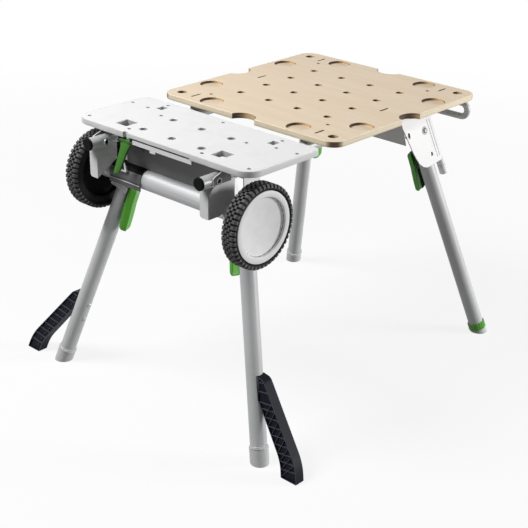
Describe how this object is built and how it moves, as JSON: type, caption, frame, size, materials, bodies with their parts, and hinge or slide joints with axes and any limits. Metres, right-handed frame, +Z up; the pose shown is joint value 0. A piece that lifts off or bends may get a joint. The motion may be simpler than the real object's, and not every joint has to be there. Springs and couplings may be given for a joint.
{
  "type": "table saw stand",
  "caption": "Folding stand for a table saw: beech and grey perforated plates on rails, splayed folding legs with squeeze locks, outriggers, and wheels at one end.",
  "frame": {"origin": "on the floor, under the middle of the stand's bounding box", "axes": "+X to the right seen from the wheel end, +Y from the wheels to the beech plate, +Z up"},
  "size_m": [0.95, 0.9555, 0.677],
  "materials": {
    "beech": "sealed beech plywood",
    "laminate": "board with a light grey laminate",
    "white_coat": "white powder coat",
    "grey_coat": "light grey powder coat",
    "dark_coat": "dark grey powder coat",
    "silver_tube": "satin silver tube",
    "steel": "zinc plated",
    "black_plastic": "moulded, matte",
    "light_grey_plastic": "moulded, satin",
    "green_plastic": "moulded, satin",
    "blue_black_plastic": "moulded, ribbed",
    "packing": "extruded strip",
    "tyre_rubber": "lugged tread"
  },
  "bodies": {
    "frame": {"beech_plate": "beech", "saw_plate": "laminate", "rail_left": "silver_tube", "rail_right": "silver_tube", "rail_cap_left": "black_plastic", "rail_cap_right": "black_plastic", "saw_strip_left": "packing", "saw_strip_right": "packing", "beech_strip_left": "packing", "beech_strip_right": "packing", "cross_beam": "silver_tube", "axle_left": "steel", "axle_right": "steel", "front_apron": "dark_coat", "rear_apron": "grey_coat", "clamp_clevis": "dark_coat", "pull_handle": "grey_coat", "rail_end_bracket_left": "white_coat", "rail_end_bracket_right": "white_coat", "stop_buffer_rear_left": "light_grey_plastic", "stop_buffer_rear_right": "light_grey_plastic", "leg_bracket_front_left": "white_coat", "leg_bracket_front_right": "white_coat", "leg_bracket_rear_left": "white_coat", "leg_bracket_rear_right": "white_coat", "leg_pivot_pin_front_left": "steel", "leg_pivot_pin_front_right": "steel", "leg_pivot_pin_rear_left": "steel", "leg_pivot_pin_rear_right": "steel"},
    "wheel_left": {"wheel_hub_left": "black_plastic", "tyre_left": "tyre_rubber", "hub_cover_left": "light_grey_plastic"},
    "wheel_right": {"wheel_hub_right": "black_plastic", "tyre_right": "tyre_rubber", "hub_cover_right": "light_grey_plastic"},
    "leg_front_left": {"leg_front_left": "silver_tube", "foot_front_left": "light_grey_plastic", "lock_housing_front_left": "dark_coat", "outrigger_front_left": "blue_black_plastic"},
    "leg_front_right": {"leg_front_right": "silver_tube", "foot_front_right": "light_grey_plastic", "lock_housing_front_right": "dark_coat", "outrigger_front_right": "blue_black_plastic"},
    "leg_rear_left": {"leg_rear_left": "silver_tube", "foot_rear_left": "light_grey_plastic", "lock_housing_rear_left": "dark_coat"},
    "leg_rear_right": {"leg_rear_right": "silver_tube", "lock_housing_rear_right": "dark_coat"},
    "lock_lever_front_left": {"lock_lever_front_left": "green_plastic"},
    "lock_lever_front_right": {"lock_lever_front_right": "green_plastic"},
    "lock_lever_rear_left": {"lock_lever_rear_left": "green_plastic"},
    "lock_lever_rear_right": {"lock_lever_rear_right": "green_plastic"},
    "lock_pin_front_left": {"lock_pin_front_left": "steel"},
    "lock_pin_front_right": {"lock_pin_front_right": "steel"},
    "lock_pin_rear_left": {"lock_pin_rear_left": "steel"},
    "lock_pin_rear_right": {"lock_pin_rear_right": "steel"},
    "clamp_lever": {"clamp_lever": "green_plastic"},
    "foot_adjuster": {"foot_adjuster": "green_plastic"},
    "foot_rear_right": {"foot_rear_right": "light_grey_plastic"}
  },
  "joints": [
    {"name": "wheel_spin_left", "type": "hinge", "parent": "frame", "child": "wheel_left", "pos_m": [-0.2628, -0.3715, 0.537], "axis": [1, 0, 0], "continuous": true},
    {"name": "wheel_spin_right", "type": "hinge", "parent": "frame", "child": "wheel_right", "pos_m": [0.2628, -0.3715, 0.537], "axis": [1, 0, 0], "continuous": true},
    {"name": "leg_fold_front_left", "type": "hinge", "parent": "frame", "child": "leg_front_left", "pos_m": [-0.1938, -0.3395, 0.529], "axis": [0.9578, 0, -0.2873], "range_deg": [0, 101.37]},
    {"name": "leg_fold_front_right", "type": "hinge", "parent": "frame", "child": "leg_front_right", "pos_m": [0.1938, -0.3395, 0.529], "axis": [0.9578, 0, 0.2873], "range_deg": [0, 101.37]},
    {"name": "leg_fold_rear_left", "type": "hinge", "parent": "frame", "child": "leg_rear_left", "pos_m": [-0.1815, 0.3195, 0.575], "axis": [-0.9622, 0, 0.2723], "range_deg": [0, 102.74]},
    {"name": "leg_fold_rear_right", "type": "hinge", "parent": "frame", "child": "leg_rear_right", "pos_m": [0.1815, 0.3195, 0.575], "axis": [-0.9622, 0, -0.2723], "range_deg": [0, 102.74]},
    {"name": "lock_squeeze_front_left", "type": "hinge", "parent": "leg_front_left", "child": "lock_lever_front_left", "pos_m": [-0.17825, -0.35074, 0.46599], "axis": [-0.0567, 0.9804, -0.1889], "range_deg": [0, 11.46], "stiffness_Nm_per_rad": 0.6},
    {"name": "lock_squeeze_front_right", "type": "hinge", "parent": "leg_front_right", "child": "lock_lever_front_right", "pos_m": [0.17825, -0.35074, 0.46599], "axis": [-0.0567, -0.9804, 0.1889], "range_deg": [0, 11.46], "stiffness_Nm_per_rad": 0.6},
    {"name": "lock_squeeze_rear_left", "type": "hinge", "parent": "leg_rear_left", "child": "lock_lever_rear_left", "pos_m": [-0.17418, 0.33979, 0.47967], "axis": [0.0601, 0.9754, 0.2122], "range_deg": [0, 11.46], "stiffness_Nm_per_rad": 0.6},
    {"name": "lock_squeeze_rear_right", "type": "hinge", "parent": "leg_rear_right", "child": "lock_lever_rear_right", "pos_m": [0.17418, 0.33979, 0.47967], "axis": [0.0601, -0.9754, -0.2122], "range_deg": [0, 11.46], "stiffness_Nm_per_rad": 0.6},
    {"name": "lock_pull_front_left", "type": "slide", "parent": "leg_front_left", "child": "lock_pin_front_left", "axis": [0.9578, 0, -0.2873], "range_m": [0, 0.0051]},
    {"name": "lock_pull_front_right", "type": "slide", "parent": "leg_front_right", "child": "lock_pin_front_right", "axis": [-0.9578, 0, -0.2873], "range_m": [0, 0.0051]},
    {"name": "lock_pull_rear_left", "type": "slide", "parent": "leg_rear_left", "child": "lock_pin_rear_left", "axis": [0.9622, 0, -0.2723], "range_m": [0, 0.0051]},
    {"name": "lock_pull_rear_right", "type": "slide", "parent": "leg_rear_right", "child": "lock_pin_rear_right", "axis": [-0.9622, 0, -0.2723], "range_m": [0, 0.0051]},
    {"name": "clamp_swing", "type": "hinge", "parent": "frame", "child": "clamp_lever", "pos_m": [-0.114, -0.4165, 0.652], "axis": [-1, 0, 0], "range_deg": [0, 60]},
    {"name": "foot_screw", "type": "hinge", "parent": "leg_rear_right", "child": "foot_adjuster", "pos_m": [0.3413, 0.4522, 0.01032], "axis": [0.2656, 0.2206, -0.9385], "range_deg": [0, 1805]},
    {"name": "foot_travel", "type": "slide", "parent": "leg_rear_right", "child": "foot_rear_right", "axis": [0.2656, 0.2206, -0.9385], "range_m": [0, 0.02]}
  ],
  "couplings": [
    {"joint": "lock_pull_front_left", "follows": "lock_squeeze_front_left", "m_per_rad": 0.025},
    {"joint": "lock_pull_front_right", "follows": "lock_squeeze_front_right", "m_per_rad": 0.025},
    {"joint": "lock_pull_rear_left", "follows": "lock_squeeze_rear_left", "m_per_rad": 0.025},
    {"joint": "lock_pull_rear_right", "follows": "lock_squeeze_rear_right", "m_per_rad": 0.025},
    {"joint": "foot_screw", "follows": "foot_travel", "rad_per_m": 1570.8}
  ]
}
